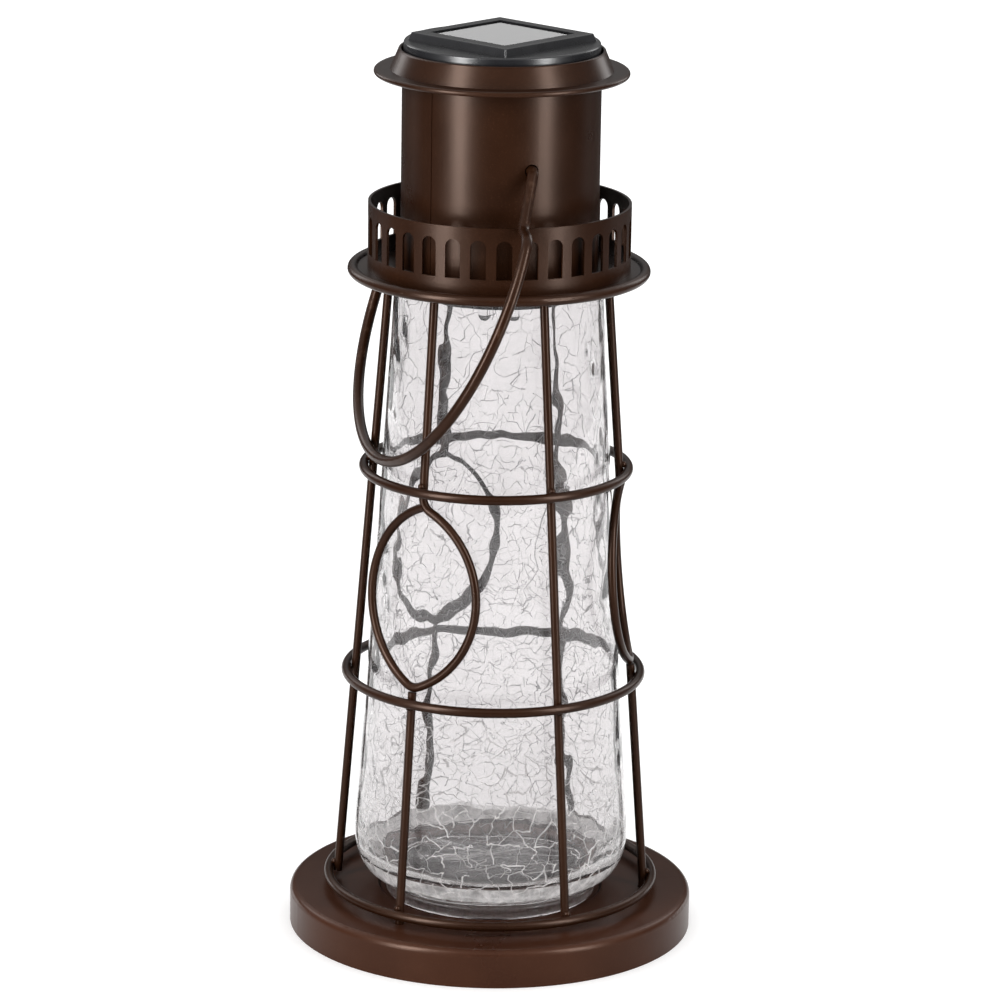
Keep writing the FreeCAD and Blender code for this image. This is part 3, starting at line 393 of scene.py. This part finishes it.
def jar_section():
    """Radius, height and share of the waves, from the middle of the underside to the middle of the floor."""
    section = []
    for start, end in zip(GLASS_FOOT, GLASS_FOOT[1:]):
        steps = max(1, round(math.dist(start, end) / FOOT_SPACING))
        for k in range(steps):
            section.append((*(start[i] + (end[i] - start[i]) * k / steps for i in (0, 1)), 0.0))
    section.append((*GLASS_FOOT[-1], 0.0))
    section += [(r, z, OUTSIDE_SHARE) for r, z in OUTSIDE]
    section += [(r, z, INSIDE_SHARE if z < NECK_BOTTOM else NECK_SHARE) for r, z in INSIDE[::-1]]
    edge, level = INSIDE[0]
    section += [(edge * (1 - k / FLOOR_RINGS), level, FLOOR_SHARE) for k in range(1, FLOOR_RINGS)]
    return section + [(0.0, level, 0.0)]


def glass_jar():
    """The whole jar as one closed skin."""
    section = jar_section()
    vertices, rings = [], []
    for index, (radius, height, share) in enumerate(section):
        columns = JAR_COLUMNS if radius else 1
        rings.append(range(len(vertices), len(vertices) + columns))
        for column in range(columns):
            azimuth = 360.0 * column / columns
            offset = blown_waviness(azimuth, height, share) if share else 0.0
            if index >= len(section) - FLOOR_RINGS:
                vertices.append(polar(radius, azimuth, height + offset))
            else:
                inward = abs(offset) if share < 0 else offset
                vertices.append(polar(radius - inward, azimuth, height))
    jar = finish_piece("blown_glass_jar", vertices, skin(rings), "crackle_glass", "lantern")
    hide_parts("glass_jar")
    return jar


# Zones of cracks in the wall: bottom, top, size of a crack cell and share of the cracks present
WALL_CRACK_ZONES = [(30.0, 48.0, 5.4, 0.55), (46.0, 120.0, 4.4, 0.88), (112.0, 190.0, 5.6, 0.80),
                    (182.0, 247.0, 7.5, 0.66)]
# Coarse, bright ones in the lowest part of the wall, which show against the dark floor
SHOULDER_CRACK_ZONE = (22.0, 61.0, 6.6, 0.82)
# Long cracks that run up the wall: how many, between which heights they start and how far they climb
LONG_CRACKS = 22
LONG_CRACK_SPAN = (40.0, 246.0)
LONG_CRACK_RISE = (26.0, 64.0)
# How far a crack slides sideways through the depth of the glass, in millimetres
CRACK_LEAN = 0.20
LOWEST_CRACK = 22.0
HIGHEST_CRACK = 247.0
# The wall is unrolled at this radius to draw its cracks
UNROLLED_RADIUS = 46.0
UNROLLED_WIDTH = 2 * math.pi * UNROLLED_RADIUS
# Nets of cracks in the floor: level, distance between corners and share of the cracks present
FLOOR_NETS = [(21.8, 11.0, 0.5), (19.8, 14.0, 0.2)]
FLOOR_NET_REACH = 9
FLOOR_CRACK_RADIUS = 35.0


def jagged(start, end, steps, spread, rng):
    """Flat points from one end of a crack to the other, wandering to each side."""
    across = Vector((-(end - start).y, (end - start).x))
    points = [start]
    for k in range(1, steps):
        points.append(start.lerp(end, k / steps) + across * rng.uniform(-spread, spread))
    return points + [end]


def crack_network(width, zone, rng):
    """Cracks of a zone on a flat sheet that closes on itself sideways: a honeycomb with its corners shaken.
    Each point of a crack comes with the sideways lean of the crack's depth there."""
    bottom, top, cell, share = zone
    columns = 2 * round(width / cell / 2)
    step = width / columns
    rise = step * 0.866
    rows = round((top - bottom) / rise)
    corners = {}

    def corner(i, j):
        key = (i % (2 * columns), j)
        if key not in corners:
            shake = Vector((rng.uniform(-0.42, 0.42) * step, rng.uniform(-0.42, 0.42) * rise))
            corners[key] = (shake, Vector((rng.uniform(-1, 1), rng.uniform(-1, 1))))
        shake, lean = corners[key]
        shift = (1 if (i + j) % 2 else -1) * rise / 6
        return Vector((i * step / 2, j * rise + shift)) + shake, lean

    cracks = []
    for j in range(rows + 1):
        for i in range(2 * columns):
            neighbours = [corner(i + 1, j)]
            if (i + j) % 2 and j < rows:
                neighbours.append(corner(i, j + 1))
            for end, end_lean in neighbours:
                start, start_lean = corner(i, j)
                if rng.random() > share:
                    continue
                points = jagged(start, end, 4, 0.10, rng)
                cracks.append([(Vector((point.x, bottom + point.y)), start_lean.lerp(end_lean, k / 4))
                               for k, point in enumerate(points)])
    return cracks


def long_crack(width, bottom, top, rng):
    """One crack that climbs across many cells."""
    start = Vector((rng.uniform(0, width), rng.uniform(bottom, top)))
    climb = rng.uniform(*LONG_CRACK_RISE)
    end = start + Vector((rng.choice((-1, 1)) * climb * rng.uniform(0.15, 0.9), climb))
    steps = max(6, round(climb / 4))
    points = jagged(start, end, steps, 0.05, rng)
    sway = Vector((rng.uniform(-1, 1), rng.uniform(-1, 1)))
    return [(point, sway + Vector((rng.uniform(-0.4, 0.4), rng.uniform(-0.4, 0.4)))) for point in points
            if point.y < top]


def wall_films(name, cracks, depths, spread, reach, faces_of_cracks, rng):
    """Piece made of the narrow films that cracks leave inside the wall. Cracks are drawn on the unrolled
    wall, depths is how deep the films go, spread how wide they look, and reach how far up they may come."""
    vertices, faces = [], []
    for crack in cracks:
        if len(crack) < 2:
            continue
        outer = rng.uniform(0.30, 0.55)
        depth = rng.uniform(*depths)
        faces += strip(len(vertices), 2 * len(crack))
        run = (crack[-1][0] - crack[0][0]).normalized()
        across = Vector((-run.y, run.x)) * rng.choice((-1, 1)) * spread
        for point, lean in crack:
            height = min(max(point.y, LOWEST_CRACK), reach)
            azimuth = math.degrees(point.x / UNROLLED_RADIUS)
            surface = radius_at(OUTSIDE, height)
            slide = lean * CRACK_LEAN + across
            vertices.append(polar(surface - outer, azimuth, height))
            vertices.append(polar(surface - outer - depth, azimuth + math.degrees(slide.x / surface),
                                  min(height + slide.y, reach)))
    return finish_piece(name, vertices, faces, "crackle_glass", "lantern", False, faces_of_cracks)


def wall_cracks():
    """Cracks in the jar's wall, in a net that is finer low down, with some long ones across it."""
    rng = random.Random(41)
    cracks = [crack for zone in WALL_CRACK_ZONES for crack in crack_network(UNROLLED_WIDTH, zone, rng)]
    cracks += [long_crack(UNROLLED_WIDTH, *LONG_CRACK_SPAN, rng) for _ in range(LONG_CRACKS)]
    film = crack_faces("wall_crack_faces", (0.50, 0.50, 0.505), (0.78, 0.78, 0.785), (0.26, 0.80))
    return wall_films("wall_cracks", cracks, (0.35, 0.80), 0.17, HIGHEST_CRACK, film, rng)


def shoulder_cracks():
    """Coarse bright cracks in the lowest part of the wall."""
    rng = random.Random(17)
    cracks = crack_network(UNROLLED_WIDTH, SHOULDER_CRACK_ZONE, rng)
    film = crack_faces("shoulder_crack_faces", (0.78, 0.76, 0.755), (0.95, 0.93, 0.925), (0.65, 1.0), 0.27)
    return wall_films("shoulder_cracks", cracks, (0.5, 0.9), 0.36, SHOULDER_CRACK_ZONE[1], film, rng)


def floor_net(level, spacing, share, rng):
    """Thin tilted films along the lines of a shaken grid, at one level in the jar's floor."""
    grid = {}
    vertices, faces = [], []

    def corner(i, j):
        if (i, j) not in grid:
            shake = Vector((rng.uniform(-0.36, 0.36), rng.uniform(-0.36, 0.36)))
            grid[(i, j)] = (Vector((i + 0.5 * (j % 2), j * 0.87)) + shake) * spacing
        return grid[(i, j)]

    for j in range(-FLOOR_NET_REACH, FLOOR_NET_REACH + 1):
        for i in range(-FLOOR_NET_REACH, FLOOR_NET_REACH + 1):
            for end in (corner(i + 1, j), corner(i, j + 1)):
                crack = jagged(corner(i, j), end, 4, 0.12, rng)
                if max(point.length for point in crack) > FLOOR_CRACK_RADIUS or rng.random() > share:
                    continue
                run = (end - corner(i, j)).normalized()
                across = Vector((-run.y, run.x)) * rng.uniform(0.35, 0.9)
                tall = rng.uniform(0.5, 0.9)
                base = level + rng.uniform(-0.7, 0.7)
                faces += strip(len(vertices), 2 * len(crack))
                for point in crack:
                    vertices.append(Vector((point.x, point.y, base)) * MM)
                    vertices.append(Vector((point.x + across.x, point.y + across.y, base + tall)) * MM)
    return vertices, faces


def floor_cracks():
    """Cracks in the thick floor of the jar: a coarse net near its top and a fainter one low down."""
    rng = random.Random(8)
    vertices, faces = [], []
    for level, spacing, share in FLOOR_NETS:
        net_vertices, net_faces = floor_net(level, spacing, share, rng)
        faces += [tuple(corner + len(vertices) for corner in face) for face in net_faces]
        vertices += net_vertices
    film = crack_faces("floor_crack_faces", (0.80, 0.80, 0.81), (0.95, 0.95, 0.95), (0.70, 1.0), 0.12)
    return finish_piece("floor_cracks", vertices, faces, "crackle_glass", "lantern", False, film)


def glass_ring(name, section, film):
    """Ring-shaped film inside the glass, through points of radius and height in millimetres."""
    vertices, rings = [], []
    for radius, height in section:
        rings.append(range(len(vertices), len(vertices) + RING_COLUMNS))
        for column in range(RING_COLUMNS):
            azimuth = 360.0 * column / RING_COLUMNS
            vertices.append(polar(radius + wave(azimuth, height, RIPPLE), azimuth, height))
    return finish_piece(name, vertices, skin(rings), "crackle_glass", "lantern", True, film)


def shoulder_band():
    """Pale light that gathers in the thick glass where the shoulder turns under."""
    film = crack_faces("shoulder_light", (0.60, 0.60, 0.60), (0.85, 0.85, 0.85), (0.45, 0.90), 0.38)
    return glass_ring("shoulder_band", [(45.5, 22.8), (46.8, 24.6), (47.8, 26.4), (48.6, 28.4)], film)


def foot_shade():
    """Painted shade: a brown film inside the foot of the jar, which stands in for the dark brown pan as it
    shows through the glass.
    """
    film = crack_faces("foot_shade", (0.33, 0.22, 0.195), (0.62, 0.47, 0.43), (0.60, 0.88))
    return glass_ring("foot_shade", [(37.9, 13.7), (37.9, 17.2), (40.4, 19.2), (43.2, 20.9)], film)


glass_pieces = [glass_jar(), shoulder_band(), foot_shade(), wall_cracks(), shoulder_cracks(),
                floor_cracks()]


# ------------------------------------------------------------------ camera, floor and light

CAMERA_AZIMUTH = -18.0
CAMERA_PITCH = 15.437
CAMERA_ROLL = 0.8755
CAMERA_PLACE = Vector((1.62, -1773.5, 652.6)) * MM
FLAG_RADIUS = 0.70
FLAG_HEIGHT = 0.26
FLAG_MIDDLE = 0.20
AIM_HEIGHT = 0.17
SKY_STRENGTH = 1.45

turn = Matrix.Rotation(math.radians(CAMERA_AZIMUTH), 4, "Z")

camera_data = bpy.data.cameras.new("camera")
camera_data.lens = 180.0
camera_data.sensor_width = 36.0
camera = bpy.data.objects.new("camera", camera_data)
scene.collection.objects.link(camera)
tilt = Matrix.Rotation(math.radians(90.0 - CAMERA_PITCH), 4, "X")
roll = Matrix.Rotation(math.radians(CAMERA_ROLL), 4, "Z")
camera.matrix_world = turn @ Matrix.Translation(CAMERA_PLACE) @ tilt @ roll
camera_data.clip_end = 60.0
scene.camera = camera

bpy.ops.mesh.primitive_circle_add(vertices=96, radius=9.0, fill_type="NGON")
floor = bpy.context.object
floor.name = "studio_floor"
floor.data.materials.append(studio_floor())
floor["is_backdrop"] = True


def receivers(name, objects):
    """Collection of the objects that a light shines on."""
    collection = bpy.data.collections.new(name)
    scene.collection.children.link(collection)
    for piece in objects:
        collection.objects.link(piece)
    return collection


lit = receivers("lit_by_softboxes", [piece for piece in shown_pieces() if piece not in glass_pieces])
panel = receivers("lit_by_cell_glow", [nodes["cell_window"], nodes["solar_cell"]])
base = receivers("lit_by_base_fill", [nodes["base_pan"], nodes["roof_ring"]])


def softbox(name, azimuth, distance, height, size, power, lit_objects):
    """Area light that faces the Z axis, at an azimuth from the camera's. Distances are in metres."""
    data = bpy.data.lights.new(name, "AREA")
    data.shape = "RECTANGLE"
    data.size, data.size_y = size
    data.energy = power
    light = bpy.data.objects.new(name, data)
    scene.collection.objects.link(light)
    place = polar(distance / MM, CAMERA_AZIMUTH + azimuth, height / MM)
    light.location = place
    light.rotation_euler = (Vector((0, 0, AIM_HEIGHT)) - place).to_track_quat("-Z", "Y").to_euler()
    light.visible_camera = False
    light.light_linking.receiver_collection = lit_objects


softbox("key_left", -47.0, 0.66, 0.32, (0.18, 0.8), 19.0, lit)
softbox("key_right", 51.0, 0.66, 0.32, (0.16, 0.8), 12.5, lit)
softbox("back_left", -135.0, 0.9, 0.35, (0.25, 0.9), 2.8, lit)
softbox("back_right", 135.0, 0.9, 0.35, (0.25, 0.9), 2.8, lit)
softbox("base_fill", 0.0, 1.0, 0.16, (1.2, 0.14), 4.0, base)
softbox("cell_glow", 180.0, 1.2, 0.66, (1.2, 0.6), 2.3, panel)

# Dark wall round the stage, seen only in gloss, which keeps the middle and the sides of the metal dark
bpy.ops.mesh.primitive_cylinder_add(vertices=96, radius=FLAG_RADIUS, depth=FLAG_HEIGHT,
                                    end_fill_type="NOTHING", location=(0.0, 0.0, FLAG_MIDDLE))
flag = bpy.context.object
flag.name = "studio_flag"
flag_material, _, flag_shader = new_material("studio_flag", Roughness=1.0, Specular_IOR_Level=0.0)
flag_shader.inputs["Base Color"].default_value = (0.05, 0.05, 0.05, 1.0)
flag.data.materials.append(flag_material)
for kind in ("camera", "diffuse", "transmission", "shadow", "volume_scatter"):
    setattr(flag, "visible_" + kind, False)
flag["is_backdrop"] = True

world = bpy.data.worlds.new("studio")
scene.world = world
world.use_nodes = True
tree = world.node_tree
background = tree.nodes["Background"]
direction = add(tree, "TexCoord")
parts = add(tree, "SeparateXYZ")
tree.links.new(direction.outputs["Generated"], parts.inputs["Vector"])
sky = ramp(tree, parts.outputs["Z"],
           [(0.0, grey(0.10)), (0.25, grey(0.16)), (0.60, grey(1.0)), (1.0, grey(1.0))])
tree.links.new(sky, background.inputs["Color"])
background.inputs["Strength"].default_value = SKY_STRENGTH

scene.view_settings.view_transform = "Standard"
scene.cycles.transparent_max_bounces = 48
